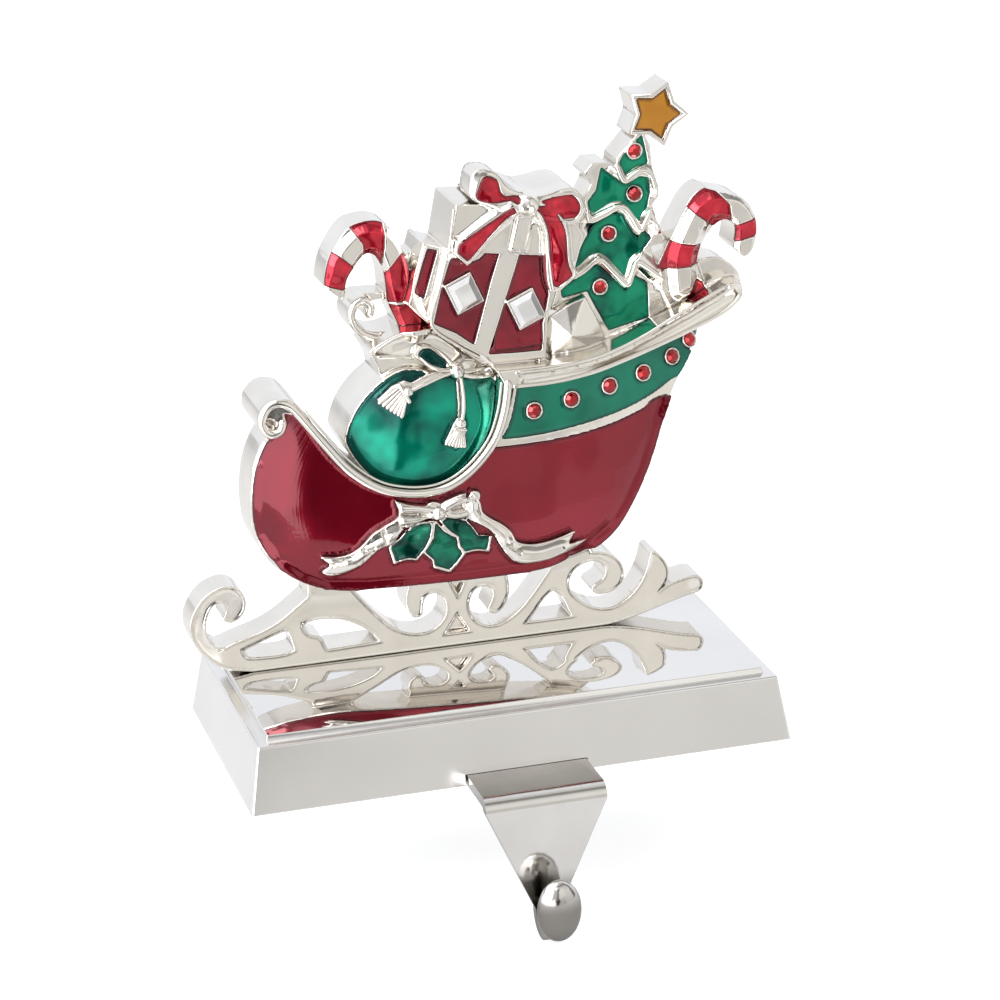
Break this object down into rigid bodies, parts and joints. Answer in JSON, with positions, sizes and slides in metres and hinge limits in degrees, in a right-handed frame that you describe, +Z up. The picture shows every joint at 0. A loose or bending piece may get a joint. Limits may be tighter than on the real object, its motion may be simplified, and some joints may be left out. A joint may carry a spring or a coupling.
{
  "type": "mantel stocking holder",
  "caption": "Weighted plated base with a hook hanging in front of it and an enamelled sleigh full of gifts standing on top.",
  "frame": {"origin": "middle of the base's underside, where the felt stands on the shelf", "axes": "+X to the right seen from the front, +Y to the back, +Z up"},
  "size_m": [0.1505, 0.0982, 0.1959],
  "materials": {
    "nickel": "bright nickel plate over a zinc casting, mirror polished on the base's panel",
    "iron": "dark cast surface",
    "screw_steel": "plain zinc-plated screws",
    "felt": "short dark felt",
    "red_enamel": "glossy domed enamel",
    "dark_red_enamel": "glossy translucent enamel",
    "green_enamel": "glossy translucent enamel",
    "amber_enamel": "glossy translucent enamel",
    "rose_glass": "faceted foil-backed stones",
    "clear_glass": "step-cut foil-backed crystals"
  },
  "bodies": {
    "root": {"base_shell": "nickel", "base_weight": "iron", "weight_screws": "screw_steel", "base_pad": "felt", "hook": "nickel", "hook_screws": "screw_steel", "figure_screws": "screw_steel", "sleigh_figure": "nickel", "hull_enamel": "red_enamel", "band_enamel": "green_enamel", "holly_enamel": "green_enamel", "sack_enamel": "green_enamel", "gift_enamel": "dark_red_enamel", "gift_bow_enamel": "red_enamel", "cane_left_enamel": "red_enamel", "cane_right_enamel": "red_enamel", "tree_enamel": "green_enamel", "star_enamel": "amber_enamel", "band_stones": "rose_glass", "tree_stones": "rose_glass", "gift_crystals": "clear_glass"}
  },
  "joints": []
}
